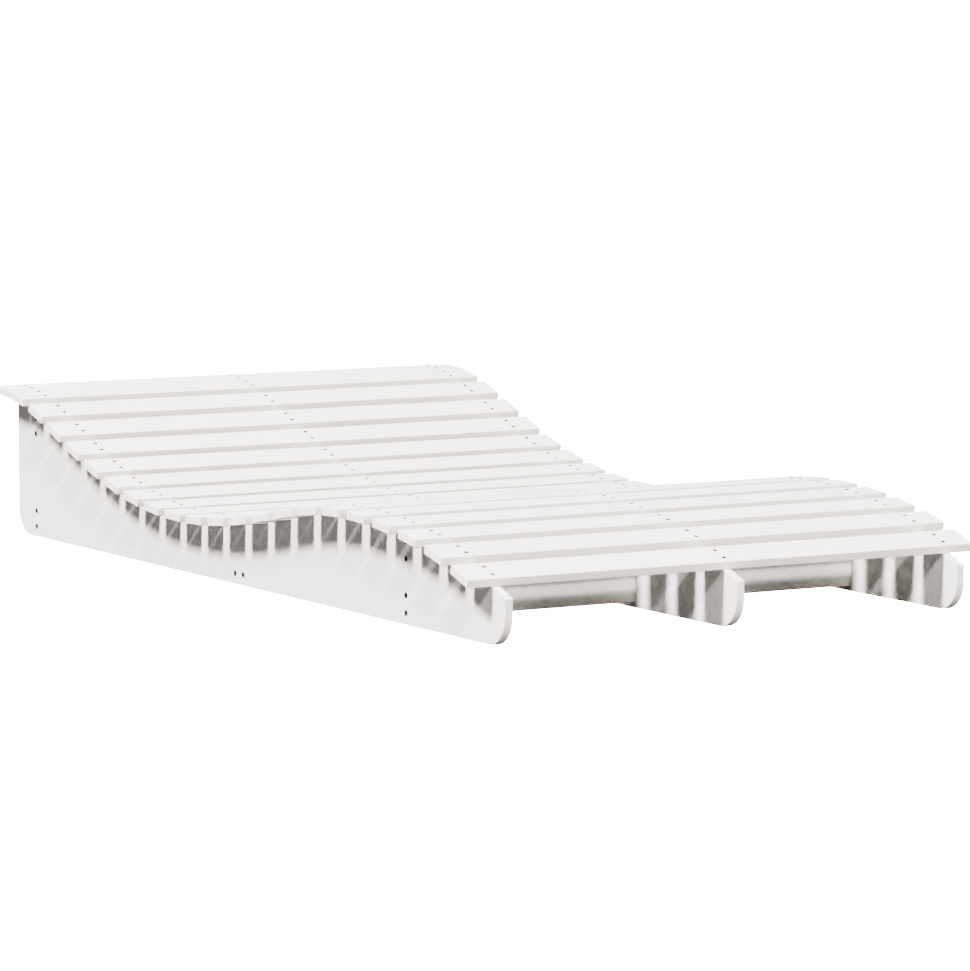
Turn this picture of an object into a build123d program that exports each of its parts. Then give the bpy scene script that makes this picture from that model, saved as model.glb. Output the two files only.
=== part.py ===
from build123d import *
import os

os.makedirs("parts", exist_ok=True)

# A wide, fixed-contour sun lounger: slats screwed across three wave-shaped panels, with short
# cross rails between the panels. Millimetres. X runs across the lounger, +Y points to the head
# end, +Z is up, and the origin is on the floor under the middle.

# ---- Overall sizes ----
length = 2050.0
width = 1100.0

# ---- Panels ----
panel_thickness = 17.0
side_overhang = 51.0  # slat end to the outer face of the outer panel
corner_radius = 55.0  # bottom corners of each panel
panel_easing = 1.5  # rounding of the panels' lower, head and foot edges

# The wave of the panels' top edge: distance from the head end, and height above the floor.
head_height = 299.0
back_station = 250.0
back_height = 243.0
lumbar_station = 520.0
lumbar_height = 154.0
seat_station = 820.0
seat_height = 112.0
thigh_station = 1150.0
thigh_height = 136.0
knee_station = 1450.0
knee_height = 182.0
calf_station = 1750.0
calf_height = 169.0
foot_height = 88.0
head_slope = 1.0  # degrees below level, going towards the foot
foot_slope = 21.0

# ---- Slats ----
slat_width = 66.0
slat_thickness = 17.0
slat_easing = 1.5  # rounding of every slat edge
seat_depth = 0.8  # flat land cut into the wave under each slat
seat_side_clearance = 0.5
head_inset = 0.0  # first slat's edge to the head end of the wave
head_gap = 1.5  # between the first two slats, which lie almost edge to edge
foot_margin = 83.4  # last slat's middle line to the end of the wave, along the wave
back_steps, back_step = 5, 94.5  # steps between slat middle lines along the wave
seat_steps, seat_step = 4, 93.5
knee_steps, knee_step = 7, 95.6
leg_steps, leg_step = 4, 98.3

# ---- Cross rails: a row in each bay, butted between the panels ----
rail_width = 54.0
rail_thickness = 17.0
rail_easing = 1.5
rail_floor_gap = 11.0  # under the rails that stand on edge near the floor
flat_rail_floor_gap = 13.0
head_rail_inset = 88.5  # head end to the middle of the head rails
head_rail_drop = 29.0  # top of the upper head rail to the wave
foot_rail_inset = 361.5  # foot end to the middle of the foot rails
foot_rail_drop = 10.5
middle_rail_station = 1019.5  # head end to the middle of the flat rail

# ---- Fasteners ----
screw_spacing = 32.0  # the two screws of a slat in one panel
screw_radius = 2.0
screw_head_radius = 4.0
screw_length = 35.0
rail_screw_spacing = 33.0
rail_screw_radius = 3.0
rail_screw_head_radius = 6.0
rail_screw_length = 60.0
countersink_angle = 90.0
cross_length = 4.4  # cross recess of a slat screw, tip to tip
cross_width = 1.0
cross_depth = 1.5
socket_radius = 3.0  # corners of the hexagon socket of a rail screw
socket_depth = 2.5
dowel_radius = 4.0
dowel_length = 60.0
dowel_end_gap = 1.0  # left at each blind end of a dowel hole

# ---- Places that follow from the sizes ----
panel_offset = width / 2 - side_overhang - panel_thickness / 2
panel_places = {"left": -panel_offset, "centre": 0.0, "right": panel_offset}
bay_length = panel_offset - panel_thickness
head_end = length / 2
foot_end = -length / 2

wave_points = [
    (head_end, head_height),
    (head_end - back_station, back_height),
    (head_end - lumbar_station, lumbar_height),
    (head_end - seat_station, seat_height),
    (head_end - thigh_station, thigh_height),
    (head_end - knee_station, knee_height),
    (head_end - calf_station, calf_height),
    (foot_end, foot_height),
]
wave_ends = [
    Vector(-1, 0).rotate(Axis.Z, head_slope),
    Vector(-1, 0).rotate(Axis.Z, foot_slope),
]

# The wave is drawn once, flat, with Y as its first coordinate and height as its second.
with BuildLine() as wave_line:
    wave = Spline(*wave_points, tangents=wave_ends)


def wave_height(y):
    """Height of the wave above the floor at a place along the lounger."""
    upright = Edge.make_line((y, 0), (y, 2 * head_height))
    return wave.intersect(upright).vertices()[0].Y


def seat_plane(distance, x=0.0):
    """Plane of a slat's underside at a distance along the wave, normal pointing up."""
    spot = wave.position_at(distance, position_mode=PositionMode.LENGTH)
    along = wave.tangent_at(distance, position_mode=PositionMode.LENGTH)
    normal = Vector(0, along.Y, -along.X)
    middle = Vector(x, spot.X, spot.Y) - normal * seat_depth
    return Plane(origin=middle, x_dir=(1, 0, 0), z_dir=normal)


# ---- Slat places along the wave ----
first_slat = head_inset + slat_width / 2
second_slat = first_slat + slat_width + head_gap
steps = (
    [back_step] * back_steps
    + [seat_step] * seat_steps
    + [knee_step] * knee_steps
    + [leg_step] * leg_steps
)
# The steps are stretched together so that the last slat keeps its margin to the foot end.
stretch = (wave.length - second_slat - foot_margin) / sum(steps)
slat_distances = [first_slat, second_slat]
for step in steps:
    slat_distances.append(slat_distances[-1] + step * stretch)

# ---- Rail places: middle along Y, middle height, and whether the rail stands on edge ----
head_rail_y = head_end - head_rail_inset
foot_rail_y = foot_end + foot_rail_inset
low_rail_z = rail_floor_gap + rail_width / 2
rail_places = {
    "head_rail_upper": (head_rail_y, wave_height(head_rail_y) - head_rail_drop - rail_width / 2, True),
    "head_rail_lower": (head_rail_y, low_rail_z, True),
    "middle_rail": (head_end - middle_rail_station, flat_rail_floor_gap + rail_thickness / 2, False),
    "foot_rail_upper": (foot_rail_y, wave_height(foot_rail_y) - foot_rail_drop - rail_width / 2, True),
    "foot_rail_lower": (foot_rail_y, low_rail_z, True),
}


def rail_fastener_spots(place):
    """The two fastener points of a rail, as Y and Z, side by side across its wide face."""
    y, z, on_edge = place
    half = rail_screw_spacing / 2
    if on_edge:
        return [(y, z - half), (y, z + half)]
    return [(y - half, z), (y + half, z)]


def save(builder, name):
    """Label a finished piece and write its file."""
    builder.part.label = name
    export_step(builder.part, f"parts/{name}.step")


fastener_spots = [spot for place in rail_places.values() for spot in rail_fastener_spots(place)]
outward = {"left": Vector(-1, 0, 0), "right": Vector(1, 0, 0)}
pilot_depth = screw_length - slat_thickness

# ---- Three wave panels ----
for side, x in panel_places.items():
    with BuildPart() as panel:
        with BuildSketch(Plane.YZ.offset(x - panel_thickness / 2)) as outline:
            with BuildLine():
                add(wave)
                Polyline(wave_points[-1], (foot_end, 0), (head_end, 0), wave_points[0])
            make_face()
            fillet(outline.vertices().group_by(Axis.Y)[0], radius=corner_radius)
        extrude(amount=panel_thickness)
        rim = panel.faces().filter_by(Axis.X).edges().filter_by(GeomType.BSPLINE, reverse=True)
        fillet(rim, radius=panel_easing)
        # a flat land and two pilot holes for each slat
        for distance in slat_distances:
            with BuildSketch(seat_plane(distance, x)):
                Rectangle(2 * panel_thickness, slat_width + 2 * seat_side_clearance)
            extrude(amount=slat_thickness, mode=Mode.SUBTRACT)
            with Locations(seat_plane(distance, x)):
                with GridLocations(screw_spacing, screw_spacing, 1, 2):
                    Hole(radius=screw_radius, depth=pilot_depth)
        # holes for what holds the rails: countersunk from outside, or straight through for dowels
        for y, z in fastener_spots:
            if side in outward:
                face = Plane(
                    origin=Vector(x, y, z) + outward[side] * (panel_thickness / 2),
                    z_dir=outward[side],
                )
                with Locations(face):
                    CounterSinkHole(
                        radius=rail_screw_radius,
                        counter_sink_radius=rail_screw_head_radius,
                        counter_sink_angle=countersink_angle,
                        depth=panel_thickness,
                    )
            else:
                with BuildSketch(Plane.YZ.offset(x - panel_thickness / 2)):
                    with Locations((y, z)):
                        Circle(dowel_radius)
                extrude(amount=panel_thickness, mode=Mode.SUBTRACT)
    save(panel, f"panel_{side}")

# ---- Slats, numbered from the head ----
for number, distance in enumerate(slat_distances, start=1):
    underside = seat_plane(distance)
    with BuildPart() as slat:
        with BuildSketch(underside):
            Rectangle(width, slat_width)
        extrude(amount=slat_thickness)
        fillet(slat.edges(), radius=slat_easing)
        with Locations(underside.offset(slat_thickness)):
            with GridLocations(panel_offset, screw_spacing, 3, 2):
                CounterSinkHole(
                    radius=screw_radius,
                    counter_sink_radius=screw_head_radius,
                    counter_sink_angle=countersink_angle,
                    depth=slat_thickness,
                )
    save(slat, f"slat_{number:02d}")

# ---- Cross rails, one in each bay ----
for bay, turn in (("left", -1), ("right", 1)):
    inner_end = turn * panel_thickness / 2
    outer_end = turn * (panel_offset - panel_thickness / 2)
    for name, place in rail_places.items():
        y, z, on_edge = place
        with BuildPart() as rail:
            with BuildSketch(Plane.YZ.offset(inner_end)):
                with Locations((y, z)):
                    if on_edge:
                        RectangleRounded(rail_thickness, rail_width, rail_easing)
                    else:
                        RectangleRounded(rail_width, rail_thickness, rail_easing)
            extrude(amount=turn * bay_length)
            # blind dowel holes at the centre panel, screw holes at the outer panel
            with BuildSketch(Plane.YZ.offset(inner_end)):
                with Locations(*rail_fastener_spots(place)):
                    Circle(dowel_radius)
            extrude(
                amount=turn * ((dowel_length - panel_thickness) / 2 + dowel_end_gap),
                mode=Mode.SUBTRACT,
            )
            with BuildSketch(Plane.YZ.offset(outer_end)):
                with Locations(*rail_fastener_spots(place)):
                    Circle(rail_screw_radius)
            extrude(amount=-turn * (rail_screw_length - panel_thickness), mode=Mode.SUBTRACT)
        save(rail, f"{name}_{bay}")


def countersunk_outline(head_radius, shank_radius, total):
    """Half outline of a countersunk screw with its flat head at the origin, pointing down."""
    cone_end = -(head_radius - shank_radius)
    return [
        (0, 0),
        (head_radius, 0),
        (shank_radius, cone_end),
        (shank_radius, -total + 2 * shank_radius),
        (0, -total),
    ]


# ---- Slat screws: one model with a cross recess, then a row for each panel ----
with BuildPart() as slat_screw:
    with BuildSketch(Plane.XZ):
        with BuildLine():
            Polyline(*countersunk_outline(screw_head_radius, screw_radius, screw_length), close=True)
        make_face()
    revolve(axis=Axis.Z)
    with BuildSketch():
        Rectangle(cross_length, cross_width)
        Rectangle(cross_width, cross_length)
    extrude(amount=-cross_depth, mode=Mode.SUBTRACT)

for side, x in panel_places.items():
    spots = []
    for distance in slat_distances:
        top = seat_plane(distance, x).offset(slat_thickness)
        for shift in (-screw_spacing / 2, screw_spacing / 2):
            spots.append(top.shift_origin(top.from_local_coords((0, shift, 0))))
    with BuildPart() as slat_screws:
        with Locations(*spots):
            add(slat_screw.part)
    save(slat_screws, f"slat_screws_{side}")

# ---- Rail screws: one model with a hexagon socket, then a set for each outer panel ----
with BuildPart() as rail_screw:
    with BuildSketch(Plane.XZ):
        with BuildLine():
            Polyline(
                *countersunk_outline(rail_screw_head_radius, rail_screw_radius, rail_screw_length),
                close=True,
            )
        make_face()
    revolve(axis=Axis.Z)
    with BuildSketch():
        RegularPolygon(radius=socket_radius, side_count=6)
    extrude(amount=-socket_depth, mode=Mode.SUBTRACT)

for side, direction in outward.items():
    outer_face = panel_places[side] + direction.X * panel_thickness / 2
    spots = [Plane(origin=(outer_face, y, z), z_dir=direction) for y, z in fastener_spots]
    with BuildPart() as rail_screws:
        with Locations(*spots):
            add(rail_screw.part)
    save(rail_screws, f"rail_screws_{side}")

# ---- Dowels through the centre panel, shared by the rails of both bays ----
with BuildPart() as dowels:
    with BuildSketch(Plane.YZ.offset(-dowel_length / 2)):
        with Locations(*fastener_spots):
            Circle(dowel_radius)
    extrude(amount=dowel_length)
save(dowels, "rail_dowels_centre")
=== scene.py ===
# %% [markdown]
# # A wave-shaped sun lounger in painted pine
# The lounger is a fixed bed of 22 slats screwed across three panels whose top edges follow the
# back, seat, knees and feet of someone lying down. Short rails between the panels keep them
# upright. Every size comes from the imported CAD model, which is loaded first and which each new
# piece is measured against.

# %% Load the frame
import math
import bmesh
import bpy
from mathutils import Matrix, Vector


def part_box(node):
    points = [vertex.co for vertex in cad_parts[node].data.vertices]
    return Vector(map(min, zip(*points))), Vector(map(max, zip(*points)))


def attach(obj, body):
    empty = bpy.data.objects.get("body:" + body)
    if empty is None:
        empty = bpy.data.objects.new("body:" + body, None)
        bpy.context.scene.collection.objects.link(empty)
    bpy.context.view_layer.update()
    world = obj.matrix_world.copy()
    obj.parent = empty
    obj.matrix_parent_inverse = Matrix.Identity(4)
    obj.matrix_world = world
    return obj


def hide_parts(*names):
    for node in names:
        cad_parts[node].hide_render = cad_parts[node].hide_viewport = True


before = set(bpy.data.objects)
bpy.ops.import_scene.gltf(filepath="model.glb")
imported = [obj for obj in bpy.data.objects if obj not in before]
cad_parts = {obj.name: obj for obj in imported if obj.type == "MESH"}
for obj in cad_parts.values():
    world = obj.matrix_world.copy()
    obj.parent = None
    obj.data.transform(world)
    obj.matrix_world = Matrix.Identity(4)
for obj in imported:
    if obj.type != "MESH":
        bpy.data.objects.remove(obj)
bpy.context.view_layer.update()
MM = 0.001
print("nodes:", len(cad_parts))

# %% [markdown]
# ## Camera
# A low, long-lens view keeps the slats almost parallel, as in a catalogue. The camera stands
# about ten metres away, off the foot end and to the left, and looks slightly down. Its place,
# its turn and its lens are plain numbers, so that the view never depends on another object.

# %% Camera
camera_data = bpy.data.cameras.new("long_lens")
camera_data.sensor_width = 36.0
camera_data.lens = 187.98
camera_data.clip_end = 100.0
camera = bpy.data.objects.new("long_lens", camera_data)
camera.location = (-5.0054, -8.7456, 1.2590)
camera.rotation_euler = (math.radians(90.0 - 6.174), 0.0, math.radians(-30.045))
bpy.context.scene.collection.objects.link(camera)
bpy.context.scene.camera = camera
print("camera distance:", round(camera.location.length, 2), "m")

# %% [markdown]
# ## Studio
# A white product wants a white room. The floor and the room show as plain white to the camera,
# with only a trace of shading left on the floor, but the object itself gets no more light from
# them than from a dark floor and a pale horizon. That keeps the undersides, the rounded feet and
# the shadows under the slats dark enough to read against the white. A film-like tone curve rolls
# the bright paint off gently, so that it never burns out.

# %% Floor and room
FLOOR_REACH = 60.0
FLOOR_TRACE = 0.04  # share of the real shading that still shows on the floor
FLOOR_GREY = 0.06  # what the floor reflects, as the object sees it
SEEN_WHITE = 18.0  # strength that the tone curve shows as white
HORIZON, OVERHEAD = 0.66, 0.04  # strength of the room's light low down and high up
BAND_TOP = 0.35  # height at which the pale horizon has faded, as the sine of its elevation
ROOM_COLOUR = (1.0, 0.955, 0.935, 1.0)


def new_tree(owner):
    """Empty node tree of a material or a world."""
    owner.use_nodes = True
    owner.node_tree.nodes.clear()
    return owner.node_tree


def add_node(tree, kind, inputs=None, **settings):
    """One node, with its settings and the values of its unlinked inputs."""
    node = tree.nodes.new(kind)
    for name, value in settings.items():
        setattr(node, name, value)
    for name, value in (inputs or {}).items():
        node.inputs[name].default_value = value
    return node


def wire(tree, *pairs):
    """Links each output socket to its input socket."""
    for start, end in pairs:
        tree.links.new(start, end)


def grey(value):
    """Neutral colour of that value."""
    return (value, value, value, 1.0)


floor_mesh = bpy.data.meshes.new("studio_floor")
sweep = bmesh.new()
bmesh.ops.create_grid(sweep, x_segments=2, y_segments=2, size=FLOOR_REACH)
sweep.to_mesh(floor_mesh)
sweep.free()
studio_floor = bpy.data.objects.new("studio_floor", floor_mesh)
bpy.context.scene.collection.objects.link(studio_floor)

floor_paint = bpy.data.materials.new("studio_floor_white")
tree = new_tree(floor_paint)
ray = add_node(tree, "ShaderNodeLightPath")
share = add_node(tree, "ShaderNodeMath", operation="MULTIPLY")
share.inputs[1].default_value = 1.0 - FLOOR_TRACE
matt = add_node(tree, "ShaderNodeBsdfDiffuse", {"Color": grey(FLOOR_GREY)})
glow = add_node(tree, "ShaderNodeEmission", {"Color": grey(1.0), "Strength": SEEN_WHITE})
blend = add_node(tree, "ShaderNodeMixShader")
out = add_node(tree, "ShaderNodeOutputMaterial")
wire(
    tree, (ray.outputs["Is Camera Ray"], share.inputs[0]), (share.outputs[0], blend.inputs[0]),
    (matt.outputs[0], blend.inputs[1]), (glow.outputs[0], blend.inputs[2]),
    (blend.outputs[0], out.inputs["Surface"]),
)
floor_mesh.materials.append(floor_paint)

room = bpy.data.worlds.new("white_room")
bpy.context.scene.world = room
tree = new_tree(room)
ray = add_node(tree, "ShaderNodeLightPath")
where = add_node(tree, "ShaderNodeTexCoord")
height = add_node(tree, "ShaderNodeSeparateXYZ")
band = add_node(
    tree, "ShaderNodeMapRange",
    {"From Min": 0.0, "From Max": BAND_TOP, "To Min": HORIZON, "To Max": OVERHEAD},
)
seen = add_node(tree, "ShaderNodeBackground", {"Color": grey(1.0), "Strength": SEEN_WHITE})
soft = add_node(tree, "ShaderNodeBackground", {"Color": ROOM_COLOUR})
blend = add_node(tree, "ShaderNodeMixShader")
out = add_node(tree, "ShaderNodeOutputWorld")
wire(
    tree, (where.outputs["Generated"], height.inputs[0]),
    (height.outputs["Z"], band.inputs["Value"]), (band.outputs["Result"], soft.inputs["Strength"]),
    (ray.outputs["Is Camera Ray"], blend.inputs[0]), (soft.outputs[0], blend.inputs[1]),
    (seen.outputs[0], blend.inputs[2]), (blend.outputs[0], out.inputs["Surface"]),
)
bpy.context.scene.view_settings.view_transform = "Filmic"
bpy.context.scene.view_settings.look = "High Contrast"
print("floor reaches", FLOOR_REACH, "m each way")

# %% [markdown]
# ## Lights
# Two softboxes, hung far away so that the whole lounger gets the same light, do the work. The
# main one stands high on the left, almost square to the long side. It throws the shadows of the
# slat ends straight down the outer panel. The smaller one stands beyond the foot end. Its light
# slips between the slats, which draws the thin slanting streaks in those shadows, and lights the
# lower foot rail. Two faint, low fills, one off the right corner of the foot end and one beyond
# the head end, open the faces that the first two miss.

# %% Softboxes
SOFTBOX_DISTANCE = 40.0
LAMP_COLOUR = (1.0, 0.96, 0.93)


def softbox(name, turn, rise, wide, tall, strength):
    """Softbox that faces the lounger. It stands turn degrees from the left side towards the foot
    end and rise degrees up, and looks wide by tall degrees large from the lounger. Strength is
    how bright a white matt face that is turned to it gets."""
    turn, rise = math.radians(turn), math.radians(rise)
    level = math.cos(rise)
    towards = Vector((-math.cos(turn) * level, -math.sin(turn) * level, math.sin(rise)))
    data = bpy.data.lights.new(name, "AREA")
    data.shape = "ELLIPSE"
    data.size = 2 * SOFTBOX_DISTANCE * math.tan(math.radians(wide / 2))
    data.size_y = 2 * SOFTBOX_DISTANCE * math.tan(math.radians(tall / 2))
    data.energy = strength * math.pi**2 * SOFTBOX_DISTANCE**2
    data.color = LAMP_COLOUR
    light = bpy.data.objects.new(name, data)
    light.location = towards * SOFTBOX_DISTANCE
    light.rotation_euler = towards.to_track_quat("Z", "Y").to_euler()
    light.visible_camera = False
    bpy.context.scene.collection.objects.link(light)
    print(name, "is", round(data.size, 1), "by", round(data.size_y, 1), "m")


softbox("main_softbox", turn=3.5, rise=50.5, wide=8.0, tall=13.0, strength=2.5)
softbox("foot_softbox", turn=69.0, rise=38.8, wide=4.0, tall=3.0, strength=0.95)
softbox("low_fill", turn=132.0, rise=8.0, wide=26.0, tall=14.0, strength=0.60)
softbox("head_fill", turn=-105.0, rise=14.0, wide=26.0, tall=14.0, strength=0.25)

# %% [markdown]
# ## Boards with eased edges
# Every wooden piece starts as a sawn board whose edges are softened by a router, so that nobody
# catches a splinter and the paint holds at the corners. A cube scaled to the board's size and
# bevelled all round in three steps gives exactly that. The new corner points are also marked
# with a number, edge_wear, that the paint reads later.

# %% Board helpers
WEAR = "edge_wear"
EASING, EASING_STEPS = 1.5 * MM, 3


def ease_edges(bm, edges):
    """Rounds the edges and marks the points that lie on the rounding itself."""
    wear = bm.verts.layers.float.get(WEAR) or bm.verts.layers.float.new(WEAR)
    rounded = bmesh.ops.bevel(
        bm, geom=edges, offset=EASING, segments=EASING_STEPS, profile=0.5,
        affect="EDGES", material=-1,
    )["faces"]
    kept = set(rounded)
    for face in bm.faces:
        face.smooth = face in kept
    for face in rounded:
        for vert in face.verts:
            if all(near in kept for near in vert.link_faces):
                vert[wear] = 1.0


def sawn_board(size, square_ends=False):
    """Board of that size round the origin. Its edges are eased, all or only the long ones."""
    bm = bmesh.new()
    bmesh.ops.create_cube(bm, size=1.0)
    bmesh.ops.scale(bm, vec=size, verts=bm.verts)
    edges = bm.edges[:]
    if square_ends:
        edges = [e for e in edges if abs((e.verts[0].co - e.verts[1].co).x) > size[0] / 2]
    ease_edges(bm, edges)
    return bm


def open_edges(bm):
    """Number of edges that don't join exactly two faces. A closed piece has none."""
    return sum(not e.is_manifold for e in bm.edges)


def place_piece(bm, name, node_names, place=Matrix.Identity(4)):
    """Turns a bmesh into a finished piece that rides on the lounger and stands for CAD nodes."""
    bmesh.ops.transform(bm, matrix=place, verts=bm.verts)
    mesh = bpy.data.meshes.new(name)
    bm.to_mesh(mesh)
    bm.free()
    piece = bpy.data.objects.new(name, mesh)
    bpy.context.scene.collection.objects.link(piece)
    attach(piece, "root")
    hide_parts(*node_names)
    return piece


sample = sawn_board((1.0, 0.066, 0.017))
print("an eased board has", len(sample.faces), "faces")
sample.free()

# %% [markdown]
# ## Drilling
# Screw heads sit in countersinks and shanks run in drilled holes. A boolean could cut them, but
# it leaves thin triangles behind. Here a square cell is cut round the hole's middle with four
# bisecting planes, the cell is swapped for a ring of the hole's size, and the ring is pushed
# down step by step, so the neighbouring faces stay clean.

# %% Drill helper
HOLE_SIDES = 16
CELL_REACH = 1.5  # half a cell's side, in radii of the hole
PARALLEL, CLOSE, SAME_POINT = 0.999, 0.01 * MM, 1e-7


def pick(geom, kind):
    """Only the points or only the edges of what an operator gave back."""
    return [g for g in geom if isinstance(g, kind)]


def edges_between(verts):
    """Every edge at those points, each once and always in the same order."""
    return list(dict.fromkeys(e for v in verts for e in v.link_edges))


def face_at(bm, spot, axis):
    """The face that faces along the axis and holds the spot."""
    for face in bm.faces:
        off = abs((face.verts[0].co - spot).dot(axis))
        if face.normal.dot(axis) > PARALLEL and off < CLOSE:
            if bmesh.geometry.intersect_face_point(face, spot):
                return face
    raise ValueError(f"no face at {tuple(spot)}")


def split_edges(bm, edges, parts):
    """Splits every edge in equal parts and returns all the parts."""
    split = bmesh.ops.bisect_edges(bm, edges=edges, cuts=parts - 1)["geom_split"]
    return list(dict.fromkeys([*edges, *pick(split, bmesh.types.BMEdge)]))


def open_cell(bm, spot, axis, across, radius):
    """Cuts a square cell round the spot, opens it, and returns its edges, split for a ring."""
    reach = CELL_REACH * radius
    for direction in (across, axis.cross(across)):
        for side in (-1, 1):
            face = face_at(bm, spot, axis)
            bmesh.ops.bisect_plane(
                bm, geom=[face, *face.edges, *face.verts], dist=SAME_POINT,
                plane_co=spot + direction * reach * side, plane_no=direction,
            )
    cell = face_at(bm, spot, axis)
    edges = cell.edges[:]
    bmesh.ops.delete(bm, geom=[cell], context="FACES_ONLY")
    return split_edges(bm, edges, HOLE_SIDES // 4)


def drill(bm, spot, axis, across, profile, through=0.0):
    """Hole with the rings of profile, as (radius, depth). It ends blind, or runs through."""
    turn = Matrix((across, axis.cross(across), axis)).transposed().to_4x4()
    rim = open_cell(bm, spot, axis, across, profile[0][0])
    ring = bmesh.ops.create_circle(
        bm, cap_ends=False, segments=HOLE_SIDES, radius=profile[0][0],
        matrix=Matrix.Translation(spot) @ turn,
    )["verts"]
    edges = edges_between(ring)
    walls = bmesh.ops.bridge_loops(bm, edges=rim + edges)["faces"]
    for face in walls:
        face.smooth = False
    for (radius, depth), (next_radius, next_depth) in zip(profile, profile[1:]):
        grown = bmesh.ops.extrude_edge_only(bm, edges=edges)["geom"]
        verts, edges = pick(grown, bmesh.types.BMVert), pick(grown, bmesh.types.BMEdge)
        for face in {f for v in verts for f in v.link_faces}:
            face.smooth = True
        bmesh.ops.translate(bm, vec=-axis * (next_depth - depth), verts=verts)
        middle = spot - axis * next_depth
        shrink = next_radius / radius
        bmesh.ops.scale(bm, vec=(shrink,) * 3, space=Matrix.Translation(-middle), verts=verts)
    if through:
        exit_rim = open_cell(bm, spot - axis * through, -axis, across, profile[0][0])
        bmesh.ops.bridge_loops(bm, edges=edges + exit_rim)
    else:
        bmesh.ops.edgeloop_fill(bm, edges=edges)


# %% [markdown]
# ## The slats
# All 22 slats are the same board, 1.1 m long, laid across the wave at their own tilt. So one
# board is eased and drilled, and copies of it are turned into place. The place and tilt come
# from the CAD slat: the widest of its faces that look up gives the direction that is up for that
# slat. Each hole has a countersink a hair wider than the screw head, which gives the fine dark
# ring that a real head shows.

# %% Slats
X_AXIS = Vector((1.0, 0.0, 0.0))
SLAT_NAMES = sorted(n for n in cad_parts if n.startswith("slat_") and n[-2:].isdigit())
PANEL_SIDES = ("left", "centre", "right")
panel_boxes = {side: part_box(f"panel_{side}") for side in PANEL_SIDES}
panel_middles = {side: (low.x + high.x) / 2 for side, (low, high) in panel_boxes.items()}
SLAT_SCREW_STEP = 32.0 * MM
SINK_RADIUS, SINK_DEPTH, SHANK_RADIUS = 4.45 * MM, 2.5 * MM, 2.05 * MM


def slat_place(name):
    """Frame of a CAD slat, its origin in the middle of the top, with the slat's three sizes."""
    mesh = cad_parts[name].data
    tops = [p for p in mesh.polygons if p.normal.z > 0.5]
    up = max(tops, key=lambda p: p.area).normal.copy()
    up.x = 0.0
    up.normalize()
    axes = (X_AXIS, up.cross(X_AXIS), up)
    spans = []
    for axis in axes:
        along = [v.co.dot(axis) for v in mesh.vertices]
        spans.append((min(along), max(along)))
    origin = up * spans[2][1]
    for axis, (low, high) in zip(axes[:2], spans):
        origin += axis * (low + high) / 2
    turn = Matrix(axes).transposed().to_4x4()
    return Matrix.Translation(origin) @ turn, [high - low for low, high in spans]


slat_places = {name: slat_place(name) for name in SLAT_NAMES}
slat_size = slat_places[SLAT_NAMES[0]][1]
slat_thickness = slat_size[2]
master_slat = sawn_board(slat_size)
bmesh.ops.translate(master_slat, vec=(0, 0, -slat_thickness / 2), verts=master_slat.verts)
up, across = Vector((0, 0, 1)), Vector((0, 1, 0))
for x in panel_middles.values():
    for side in (-1, 1):
        drill(
            master_slat, Vector((x, side * SLAT_SCREW_STEP / 2, 0.0)), up, across,
            [(SINK_RADIUS, 0.0), (SHANK_RADIUS, SINK_DEPTH)], through=slat_thickness,
        )
bmesh.ops.recalc_face_normals(master_slat, faces=master_slat.faces)
slats = [
    place_piece(master_slat.copy(), f"board_{name}", [name], place)
    for name, (place, _) in slat_places.items()
]
print(len(slats), "slats of", [round(s / MM, 1) for s in slat_size], "mm")
print("a slat has", len(master_slat.faces), "faces and", open_edges(master_slat), "open edges")
master_slat.free()

# %% [markdown]
# ## The rails
# Five rails in each bay are butted between the panels. Screws come through the outer panel into
# one end, and dowels through the centre panel hold the other. A rail is the same kind of eased
# board, except that its ends are sawn square, because they meet a flat panel. So only its four
# long edges are eased, and each end gets two blind holes.

# %% Rails
RAIL_HOLE_STEP = 33.0 * MM
RAIL_SCREW_RADIUS, RAIL_SCREW_REACH = 3.05 * MM, 44.0 * MM
DOWEL_RADIUS, DOWEL_REACH = 4.0 * MM, 22.5 * MM
RAIL_NAMES = sorted(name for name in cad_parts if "_rail_" in name)


def rail_frame(name):
    """Middle and size of a rail, and the way it is wide: along Y where it lies flat."""
    low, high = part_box(name)
    size = high - low
    wide = Vector((0, 1, 0)) if size.y > size.z else Vector((0, 0, 1))
    return (low + high) / 2, size, wide


rails = []
for name in RAIL_NAMES:
    middle, size, wide = rail_frame(name)
    bm = sawn_board(size, square_ends=True)
    inner = -1 if middle.x > 0 else 1  # the end at the centre panel
    for side in (-1, 1):
        for end, radius, reach in (
            (inner, DOWEL_RADIUS, DOWEL_REACH),
            (-inner, RAIL_SCREW_RADIUS, RAIL_SCREW_REACH),
        ):
            spot = X_AXIS * end * size.x / 2 + wide * side * RAIL_HOLE_STEP / 2
            drill(bm, spot, X_AXIS * end, wide, [(radius, 0.0), (radius, reach)])
    bmesh.ops.recalc_face_normals(bm, faces=bm.faces)
    place = Matrix.Translation(middle)
    rails.append(place_piece(bm, f"board_{name}", [name], place))
print(len(rails), "rails, each", round(size.x / MM, 1), "mm long")

# %% [markdown]
# ## The slat screws
# The slats are held by 132 countersunk wood screws with a cross recess. Their heads are slightly
# crowned and stand almost a millimetre proud, so that they catch the eye as small dark dots
# even in a low view along the slats. So many copies have to stay light. A grid of nine cells
# already holds the cross: its middle row and column are pushed down as the recess, and its
# twelve outer edges are bridged to a twelve-sided head, which is then drawn down into the cone,
# the shank and the point.

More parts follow.
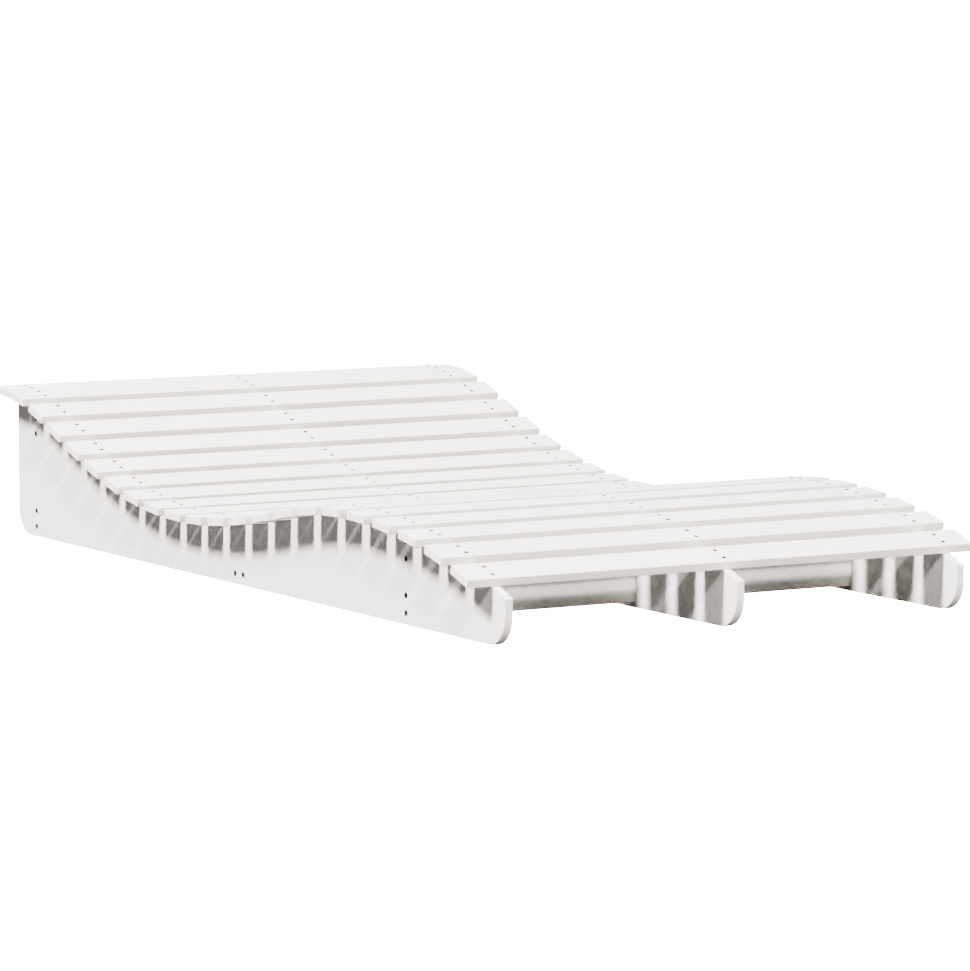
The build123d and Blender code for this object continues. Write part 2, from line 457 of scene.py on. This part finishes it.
# %% Slat screws
HEAD_RADIUS, HEAD_RISE, HEAD_CROWN = 4.25 * MM, 0.85 * MM, 0.75 * MM
HEAD_FACE = 0.95  # top face of a head as a share of its radius, the rest is its rim
CROSS_REACH, CROSS_HALF, CROSS_DEPTH = 2.1 * MM, 0.5 * MM, 1.6 * MM
CROSS_TAPER = 0.62  # size of the recess's floor as a share of its mouth
SLAT_RIM, SLAT_SHANK, SLAT_SCREW_LENGTH = 0.15 * MM, 2.0 * MM, 35.0 * MM
SLAT_POINT_LENGTH, SLAT_POINT_RADIUS = 4.0 * MM, 0.3 * MM
SCREW_SIDES = 12


def draw_down(bm, edges, steps):
    """Extrudes a ring of edges down Z through (radius, height) steps, then closes it."""
    for radius, height in steps:
        grown = bmesh.ops.extrude_edge_only(bm, edges=edges)["geom"]
        verts, edges = pick(grown, bmesh.types.BMVert), pick(grown, bmesh.types.BMEdge)
        for vert in verts:
            flat = vert.co.to_2d().normalized() * radius
            vert.co = Vector((flat.x, flat.y, height))
        for face in {f for v in verts for f in v.link_faces}:
            face.smooth = True
    bmesh.ops.edgeloop_fill(bm, edges=edges)


def screw_head(bm, recess, radius, sides, height):
    """Bridges the mouth of a recess to the edge of a round top face, and returns that edge."""
    ring = bmesh.ops.create_circle(
        bm, cap_ends=False, segments=sides, radius=radius * HEAD_FACE,
        matrix=Matrix.Translation((0, 0, height)),
    )["verts"]
    rim = edges_between(ring)
    bmesh.ops.bridge_loops(bm, edges=recess + rim)
    return rim


def cross_head_screw():
    """Countersunk screw with a cross recess, its head at the origin and its point down Z."""
    bm = bmesh.new()
    bmesh.ops.create_grid(bm, x_segments=3, y_segments=3, size=CROSS_REACH)
    for vert in bm.verts:  # the two inner lines each way close in to the width of the cross
        for axis in (0, 1):
            if abs(vert.co[axis]) < CROSS_REACH / 2:
                vert.co[axis] = math.copysign(CROSS_HALF, vert.co[axis])
    middles = [(face, face.calc_center_median()) for face in bm.faces]
    cross = [face for face, middle in middles if min(abs(middle.x), abs(middle.y)) < CROSS_HALF]
    pushed = bmesh.ops.extrude_face_region(bm, geom=cross)["geom"]
    bmesh.ops.delete(bm, geom=cross, context="FACES")
    floor_verts = pick(pushed, bmesh.types.BMVert)
    bmesh.ops.translate(bm, vec=(0, 0, -CROSS_DEPTH), verts=floor_verts)
    bmesh.ops.scale(bm, vec=(CROSS_TAPER, CROSS_TAPER, 1.0), verts=floor_verts)
    outer = [e for e in bm.edges if e.is_boundary]
    rim = screw_head(bm, outer, HEAD_RADIUS, SCREW_SIDES, -HEAD_CROWN)
    under = -HEAD_CROWN - SLAT_RIM
    draw_down(bm, rim, [
        (HEAD_RADIUS, under), (SLAT_SHANK, under - (HEAD_RADIUS - SLAT_SHANK)),
        (SLAT_SHANK, -SLAT_SCREW_LENGTH + SLAT_POINT_LENGTH),
        (SLAT_POINT_RADIUS, -SLAT_SCREW_LENGTH),
    ])
    bmesh.ops.remove_doubles(bm, verts=bm.verts, dist=SAME_POINT)
    bmesh.ops.recalc_face_normals(bm, faces=bm.faces)
    return bm


def gather(model, places):
    """One bmesh that holds a copy of the model at each place."""
    mesh = bpy.data.meshes.new("pattern")
    model.to_mesh(mesh)
    gathered = bmesh.new()
    for place in places:
        count = len(gathered.verts)
        gathered.from_mesh(mesh)
        bmesh.ops.transform(gathered, matrix=place, verts=gathered.verts[count:])
    bpy.data.meshes.remove(mesh)
    return gathered


screw = cross_head_screw()
print("a slat screw has", len(screw.faces), "faces and", open_edges(screw), "open edges")
screw_pieces = []
for side, x in panel_middles.items():
    places = []
    for number, (place, _) in enumerate(slat_places.values()):
        for row in (-1, 1):
            spot = Matrix.Translation((x, row * SLAT_SCREW_STEP / 2, HEAD_RISE))
            turned = Matrix.Rotation(0.7 + 1.9 * number + 0.8 * row, 4, "Z")  # no two stop alike
            places.append(place @ spot @ turned)
    node, row_of_screws = f"slat_screws_{side}", gather(screw, places)
    screw_pieces.append(place_piece(row_of_screws, f"turned_{node}", [node]))
screw.free()
print(len(screw_pieces), "rows of slat screws")

# %% [markdown]
# ## The rail screws
# Two larger screws hold each rail from outside. Their heads have a hexagon socket. A boolean
# could cut it, but here it is a six-sided ring with each side split in four, so that it meets
# the round head point for point, and is then pushed down.

# %% Rail screws
SOCKET_RADIUS, SOCKET_DEPTH = 3.0 * MM, 2.6 * MM
RAIL_HEAD_RADIUS, RAIL_HEAD_SINK, RAIL_RIM = 5.85 * MM, 0.2 * MM, 0.2 * MM
RAIL_SHANK, RAIL_SCREW_LENGTH = 3.0 * MM, 59.5 * MM
RAIL_POINT_LENGTH, RAIL_POINT_RADIUS = 6.0 * MM, 0.5 * MM
RAIL_SCREW_SIDES = 24


def socket_head_screw():
    """Countersunk screw with a hexagon socket, its head at the origin and its point down Z."""
    bm = bmesh.new()
    corners = bmesh.ops.create_circle(bm, cap_ends=False, segments=6, radius=SOCKET_RADIUS)["verts"]
    socket = split_edges(bm, edges_between(corners), RAIL_SCREW_SIDES // 6)
    rim = screw_head(bm, socket, RAIL_HEAD_RADIUS, RAIL_SCREW_SIDES, 0.0)
    sunk = bmesh.ops.extrude_edge_only(bm, edges=socket)["geom"]
    sunk_verts = pick(sunk, bmesh.types.BMVert)
    bmesh.ops.translate(bm, vec=(0, 0, -SOCKET_DEPTH), verts=sunk_verts)
    bmesh.ops.edgeloop_fill(bm, edges=pick(sunk, bmesh.types.BMEdge))
    draw_down(bm, rim, [
        (RAIL_HEAD_RADIUS, -RAIL_RIM), (RAIL_SHANK, -(RAIL_HEAD_RADIUS - RAIL_SHANK)),
        (RAIL_SHANK, -RAIL_SCREW_LENGTH + RAIL_POINT_LENGTH),
        (RAIL_POINT_RADIUS, -RAIL_SCREW_LENGTH),
    ])
    bmesh.ops.recalc_face_normals(bm, faces=bm.faces)
    return bm


def rail_spots():
    """Y and Z of the two fasteners of each rail row, read from the rails of one bay."""
    spots = []
    for name in RAIL_NAMES:
        if name.endswith("_left"):
            middle, _, wide = rail_frame(name)
            spots += [middle + wide * side * RAIL_HOLE_STEP / 2 for side in (-1, 1)]
    return spots


rail_screw = socket_head_screw()
print("a rail screw has", len(rail_screw.faces), "faces and", open_edges(rail_screw), "open edges")
for side, outward in (("left", -1), ("right", 1)):
    low, high = panel_boxes[side]
    face_x = low.x if outward < 0 else high.x
    facing = Matrix.Rotation(outward * math.pi / 2, 4, "Y")
    places = []
    for number, spot in enumerate(rail_spots()):
        sunk = Matrix.Translation((face_x - outward * RAIL_HEAD_SINK, spot.y, spot.z))
        places.append(sunk @ facing @ Matrix.Rotation(0.4 + 1.3 * number, 4, "Z"))
    node, row_of_screws = f"rail_screws_{side}", gather(rail_screw, places)
    screw_pieces.append(place_piece(row_of_screws, f"turned_{node}", [node]))
rail_screw.free()

# %% [markdown]
# ## The dowels
# Ten fluted beech dowels run through the centre panel into the rails on both sides. The flutes
# let the glue and the air out when the dowel is driven in. Every second point of a round is
# drawn in a little, the round is pulled out to length, and the ends taper.

# %% Dowels
DOWEL_HALF, DOWEL_TAPER = 30.0 * MM, 1.2 * MM  # half its length, and how long each end tapers
DOWEL_BODY, DOWEL_TIP, FLUTE_DEPTH = 3.95 * MM, 3.3 * MM, 0.25 * MM
DOWEL_SIDES = 24
dowel = bmesh.new()
bmesh.ops.create_circle(
    dowel, cap_ends=True, segments=DOWEL_SIDES, radius=DOWEL_TIP,
    matrix=Matrix.Translation((0, 0, DOWEL_HALF)),
)
draw_down(dowel, [e for e in dowel.edges if e.is_boundary], [
    (DOWEL_BODY, DOWEL_HALF - DOWEL_TAPER), (DOWEL_BODY, -DOWEL_HALF + DOWEL_TAPER),
    (DOWEL_TIP, -DOWEL_HALF),
])
for vert in dowel.verts:
    turn = math.atan2(vert.co.y, vert.co.x) / math.tau * DOWEL_SIDES
    if round(turn) % 2:
        vert.co.xy *= 1.0 - FLUTE_DEPTH / DOWEL_RADIUS
bmesh.ops.recalc_face_normals(dowel, faces=dowel.faces)
lying = Matrix.Rotation(math.pi / 2, 4, "Y")
places = [Matrix.Translation((0.0, spot.y, spot.z)) @ lying for spot in rail_spots()]
dowels = place_piece(
    gather(dowel, places), "fluted_rail_dowels_centre", ["rail_dowels_centre"]
)
print(len(places), "dowels, each with", len(dowel.faces), "faces")
print("open edges in a dowel:", open_edges(dowel))
dowel.free()

# %% [markdown]
# ## Helpers for materials
# A material is a tree of nodes, and the same few steps come back in each: a group with named
# sockets, a sum, a mix of two colours, a stretched noise, and a value brought into a range. They
# could be written out every time. As small functions they keep the recipes below short enough to
# read. The last one ends a material: it presses the relief into the surface and adds the shader.

# %% Material helpers
VECTOR, VALUE = "NodeSocketVector", "NodeSocketFloat"


def new_group(name, inputs, outputs):
    """Shader node group with named sockets and its two end nodes."""
    group = bpy.data.node_groups.new(name, "ShaderNodeTree")
    for label, kind in inputs:
        group.interface.new_socket(name=label, in_out="INPUT", socket_type=kind)
    for label, kind in outputs:
        group.interface.new_socket(name=label, in_out="OUTPUT", socket_type=kind)
    return group, group.nodes.new("NodeGroupInput"), group.nodes.new("NodeGroupOutput")


def put(tree, socket, value):
    """Links a socket to an input, or writes a plain value into it."""
    if isinstance(value, bpy.types.NodeSocket):
        tree.links.new(value, socket)
    else:
        socket.default_value = value


def calculate(tree, operation, first, second):
    """Math node whose inputs are sockets or plain numbers."""
    node = add_node(tree, "ShaderNodeMath", operation=operation)
    put(tree, node.inputs[0], first)
    put(tree, node.inputs[1], second)
    return node.outputs[0]


def mixed(tree, factor, first, second):
    """Mix of two colours, each a socket or a plain colour."""
    node = add_node(tree, "ShaderNodeMix", data_type="RGBA")
    for name, value in (("Factor", factor), ("A", first), ("B", second)):
        put(tree, node.inputs[name], value)
    return node.outputs["Result"]


def noise(tree, vector, factors, **settings):
    """Noise texture on a vector that is first multiplied by the factors."""
    stretch = add_node(tree, "ShaderNodeVectorMath", {1: factors}, operation="MULTIPLY")
    texture = add_node(tree, "ShaderNodeTexNoise", {"Scale": 1.0, **settings})
    wire(tree, (vector, stretch.inputs[0]), (stretch.outputs[0], texture.inputs["Vector"]))
    return texture.outputs["Fac"]


def ranged(tree, value, low, high, to_low, to_high):
    """Map Range node on a value socket, clamped."""
    node = add_node(
        tree, "ShaderNodeMapRange",
        {"From Min": low, "From Max": high, "To Min": to_low, "To Max": to_high},
    )
    tree.links.new(value, node.inputs["Value"])
    return node.outputs["Result"]


def surface(tree, colour, roughness, height, relief, depth, extra):
    """Ends a material: a shader of that colour and roughness, over a relief in the surface."""
    bump = add_node(tree, "ShaderNodeBump", {"Strength": relief, "Distance": depth})
    shader = add_node(tree, "ShaderNodeBsdfPrincipled", extra)
    out = add_node(tree, "ShaderNodeOutputMaterial")
    wire(
        tree, (colour, shader.inputs["Base Color"]), (roughness, shader.inputs["Roughness"]),
        (height, bump.inputs["Height"]), (bump.outputs["Normal"], shader.inputs["Normal"]),
        (shader.outputs[0], out.inputs["Surface"]),
    )


# %% [markdown]
# ## Effects that the paints share
# Three effects come back in every painted board, so each is a node group. Grain gives the
# growth bands and the fine fibre of pine, drawn out along the board, which still press through a
# coat of paint. Paint film gives the slight orange peel and brush drag of the coat itself. Wear
# turns the marked corners into a broken mask, where the coat lies thinner.

# %% Effect groups
BAND_STRETCH, BANDS_FOLDED = (1.1, 24.0, 24.0), 9.0  # wide growth bands, and how many of them
FIBRE_STRETCH = (14.0, 620.0, 620.0)  # fibre, thin and long
DRAG_STRETCH = (160.0, 420.0, 420.0)  # orange peel, dragged a little along the board
CHIP_START, CHIP_FULL = 0.48, 0.68  # noise at which a corner begins to thin, and is thin

# grain: the vector arrives in metres with the board's length along X
grain, start, end = new_group(
    "pine_grain", [("Vector", VECTOR)], [("Bands", VALUE), ("Fibre", VALUE)]
)
here = start.outputs["Vector"]
bands = noise(grain, here, BAND_STRETCH, Detail=2.0, Roughness=0.45, Distortion=0.35)
folded = calculate(grain, "PINGPONG", calculate(grain, "MULTIPLY", bands, BANDS_FOLDED), 1.0)
fibre = noise(grain, here, FIBRE_STRETCH, Detail=3.0, Roughness=0.6)
wire(grain, (folded, end.inputs["Bands"]), (fibre, end.inputs["Fibre"]))

# paint film: orange peel with a slight drag along the board
film, start, end = new_group(
    "paint_film", [("Vector", VECTOR)], [("Peel", VALUE), ("Cloud", VALUE)]
)
peel = noise(film, start.outputs["Vector"], DRAG_STRETCH, Detail=2.0, Roughness=0.5)
patch = add_node(film, "ShaderNodeTexNoise", {"Scale": 5.5, "Detail": 3.0, "Roughness": 0.55})
wire(
    film, (start.outputs["Vector"], patch.inputs["Vector"]),
    (peel, end.inputs["Peel"]), (patch.outputs["Fac"], end.inputs["Cloud"]),
)

# wear: the marked corners, broken up by noise
wear, start, end = new_group(
    "edge_wear", [("Vector", VECTOR), ("Amount", VALUE)], [("Mask", VALUE)]
)
marked = add_node(wear, "ShaderNodeAttribute", attribute_name=WEAR)
broken = add_node(wear, "ShaderNodeTexNoise", {"Scale": 90.0, "Detail": 4.0, "Roughness": 0.65})
worn = ranged(wear, broken.outputs["Fac"], CHIP_START, CHIP_FULL, 0.0, 1.0)
corners = calculate(wear, "MULTIPLY", worn, marked.outputs["Fac"])
mask = calculate(wear, "MULTIPLY", corners, start.outputs["Amount"])
wire(wear, (start.outputs["Vector"], broken.inputs["Vector"]), (mask, end.inputs["Mask"]))
print("groups:", [g.name for g in (grain, film, wear)])

# %% [markdown]
# ## White paint on pine
# The coat is a satin white, very slightly warm. Real paint is never one colour: it is a touch
# greyer over the dense growth bands, patchy over a span of a hand, and warmer where it thins on
# a corner. The same recipe serves the slats, the panels and the rails, and only the direction of
# the grain and the strength of each effect change.

# %% Painted wood
WARM_WHITE = (0.85, 0.835, 0.81, 1.0)
THIN_WHITE = (0.70, 0.66, 0.58, 1.0)
DENSE_SHADE = 0.93  # the coat over a dense growth band, as a share of the white
CLOUD_LOW, CLOUD_HIGH = 0.3, 0.7  # the part of the cloudy noise that is used
CLOUD_TONE = 0.35  # how much of the denser shade a patch of cloud gets at most
SATIN_LOW, SATIN_HIGH, FIBRE_GLOSS = 0.40, 0.50, 0.06  # roughness, patch by patch and by fibre
BAND_LIFT, FIBRE_LIFT, PEEL_LIFT = 0.45, 0.8, 0.35  # what each effect adds to the relief
PAINT_DEPTH = 0.4 * MM
ALONG_X, ALONG_Y = (0.0, 0.0, 0.0), (0.0, 0.0, math.pi / 2)


def painted_wood(name, grain_turn, banding, relief, wear_amount):
    """Satin white paint over pine. The grain runs along X before it is turned by grain_turn."""
    material = bpy.data.materials.new(name)
    tree = new_tree(material)
    place = add_node(tree, "ShaderNodeTexCoord")
    turn = add_node(tree, "ShaderNodeMapping", {"Rotation": grain_turn})
    wire(tree, (place.outputs["Object"], turn.inputs["Vector"]))
    effects = []
    for group in (grain, film, wear):
        node = add_node(tree, "ShaderNodeGroup", node_tree=group)
        wire(tree, (turn.outputs[0], node.inputs["Vector"]))
        effects.append(node)
    grain_node, film_node, wear_node = effects
    wear_node.inputs["Amount"].default_value = wear_amount
    bands, fibre = grain_node.outputs["Bands"], grain_node.outputs["Fibre"]
    peel, cloud = film_node.outputs["Peel"], film_node.outputs["Cloud"]
    tone = calculate(
        tree, "ADD", calculate(tree, "MULTIPLY", bands, banding),
        ranged(tree, cloud, CLOUD_LOW, CLOUD_HIGH, 0.0, CLOUD_TONE),
    )
    dense = tuple(c * DENSE_SHADE for c in WARM_WHITE[:3]) + (1.0,)
    coat = mixed(tree, tone, WARM_WHITE, dense)
    gloss = calculate(
        tree, "ADD", ranged(tree, cloud, CLOUD_LOW, CLOUD_HIGH, SATIN_LOW, SATIN_HIGH),
        calculate(tree, "MULTIPLY", fibre, FIBRE_GLOSS),
    )
    texture = calculate(
        tree, "ADD", calculate(tree, "MULTIPLY", fibre, FIBRE_LIFT),
        calculate(tree, "MULTIPLY", peel, PEEL_LIFT),
    )
    height = calculate(tree, "ADD", calculate(tree, "MULTIPLY", bands, BAND_LIFT), texture)
    surface(
        tree, mixed(tree, wear_node.outputs["Mask"], coat, THIN_WHITE), gloss, height,
        relief, PAINT_DEPTH, {"IOR": 1.48, "Specular IOR Level": 0.4},
    )
    return material


slat_paint = painted_wood("slat_paint", ALONG_X, banding=0.6, relief=0.55, wear_amount=0.45)
rail_paint = painted_wood("rail_paint", ALONG_X, banding=0.6, relief=0.5, wear_amount=0.3)
panel_paint = painted_wood("panel_paint", ALONG_Y, banding=0.5, relief=0.45, wear_amount=0.3)
print("paints:", slat_paint.name, rail_paint.name, panel_paint.name)

# %% [markdown]
# ## Screw steel and beech
# The screws are plated steel gone dark and dull. Fine mottling in colour and roughness keeps a
# head of a few millimetres from looking like a painted dot. The dowels are bare beech, pinkish,
# with short dark flecks along the grain.

# %% Metal and bare wood
DULL_STEEL, BRIGHTER_STEEL = (0.07, 0.07, 0.072, 1.0), (0.15, 0.15, 0.153, 1.0)
STEEL_EDGE_TINT = (0.2, 0.2, 0.205, 1.0)  # keeps a head dark where it is seen almost edge on
PALE_BEECH, BEECH_FLECK = (0.60, 0.40, 0.24, 1.0), (0.45, 0.27, 0.14, 1.0)

steel = bpy.data.materials.new("dull_dark_steel")
tree = new_tree(steel)
place = add_node(tree, "ShaderNodeTexCoord")
mottle_node = add_node(tree, "ShaderNodeTexNoise", {"Scale": 700.0, "Detail": 3.0})
wire(tree, (place.outputs["Object"], mottle_node.inputs["Vector"]))
mottle = mottle_node.outputs["Fac"]
surface(
    tree, mixed(tree, mottle, DULL_STEEL, BRIGHTER_STEEL),
    ranged(tree, mottle, 0.3, 0.7, to_low=0.45, to_high=0.62), mottle,
    relief=0.25, depth=0.1 * MM, extra={"Metallic": 0.7, "Specular Tint": STEEL_EDGE_TINT},
)

beech = bpy.data.materials.new("bare_beech_wood")
tree = new_tree(beech)
place = add_node(tree, "ShaderNodeTexCoord")
grain_node = add_node(tree, "ShaderNodeGroup", node_tree=grain)
wire(tree, (place.outputs["Object"], grain_node.inputs["Vector"]))
fibre = grain_node.outputs["Fibre"]
surface(
    tree, mixed(tree, fibre, PALE_BEECH, BEECH_FLECK),
    ranged(tree, fibre, 0.2, 0.8, to_low=0.5, to_high=0.7), fibre,
    relief=0.4, depth=0.2 * MM, extra={},
)
print("materials:", steel.name, beech.name)

# %% [markdown]
# ## Giving each piece its finish
# The three panels are sawn from thick board to a curve that carries 22 flat lands, with rounded
# edges and countersinks for the rail screws. The CAD mesh already has that shape to a hair, so
# the panels stay as CAD pieces and only get the paint. A second modelling of the same curve
# could only lose precision. Every other piece has its own mesh by now and gets one finish each.

# %% Finishes


def finish_with(pieces, material):
    """Gives every piece that one material."""
    for piece in pieces:
        piece.data.materials.clear()
        piece.data.materials.append(material)


panels = [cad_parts[f"panel_{side}"] for side in PANEL_SIDES]
for panel in panels:
    panel.data.materials[0] = panel_paint
finish_with(slats, slat_paint)
finish_with(rails, rail_paint)
finish_with(screw_pieces, steel)
finish_with([dowels], beech)
print("finished", len(slats) + len(rails) + len(panels) + len(screw_pieces) + 1, "pieces")
